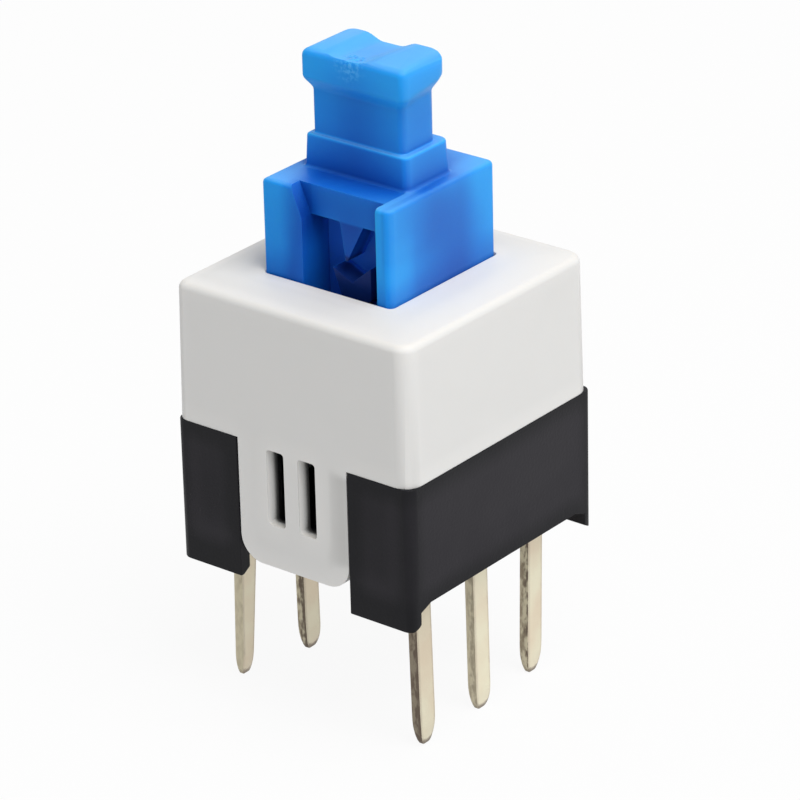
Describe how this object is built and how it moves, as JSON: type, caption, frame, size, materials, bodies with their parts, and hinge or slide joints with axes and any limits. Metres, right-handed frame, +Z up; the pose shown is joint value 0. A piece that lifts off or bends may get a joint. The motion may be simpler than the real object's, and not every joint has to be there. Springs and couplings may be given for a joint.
{
  "type": "latching push button switch",
  "caption": "Small square push-on, push-off button switch with a stepped plunger, a two-part housing and flat board pins in two rows.",
  "frame": {"origin": "middle of the pin field in the plane of the feet, where the switch sits on the board", "axes": "+Z up out of the board towards the button; -Y is the front, with the latch tongue; the two pin rows run along Y"},
  "size_m": [0.008, 0.008, 0.0185],
  "materials": {
    "black_nylon": "fine matt moulding",
    "white_abs": "satin moulding",
    "blue_acetal": "soft gloss, slightly translucent",
    "spring_steel": "drawn wire",
    "contact_bronze": "rolled strip",
    "tinned_brass": "dull tin plate over brass, sheared edges"
  },
  "bodies": {
    "housing": {"base": "black_nylon", "cover": "white_abs", "return_spring": "spring_steel", "common_terminal_left": "tinned_brass", "common_terminal_right": "tinned_brass", "closed_terminal_left": "tinned_brass", "closed_terminal_right": "tinned_brass", "open_terminal_left": "tinned_brass", "open_terminal_right": "tinned_brass"},
    "button": {"button": "blue_acetal", "moving_contact_left": "contact_bronze", "moving_contact_right": "contact_bronze"},
    "latch": {"latch_wire": "spring_steel"}
  },
  "joints": [
    {"name": "button_press", "type": "slide", "parent": "housing", "child": "button", "axis": [0, 0, -1], "range_m": [0, 0.0022], "stiffness_N_per_m": 480, "springref_m": -0.0017, "deforming": ["return_spring"]},
    {"name": "latch_swing", "type": "hinge", "parent": "housing", "child": "latch", "pos_m": [0.0002, -0.00255, 0.00195], "axis": [0, 1, 0], "range_deg": [-9.21, 0]}
  ],
  "couplings": [
    {"joint": "latch_swing", "follows": "button_press", "rad_per_m": -70.695}
  ]
}
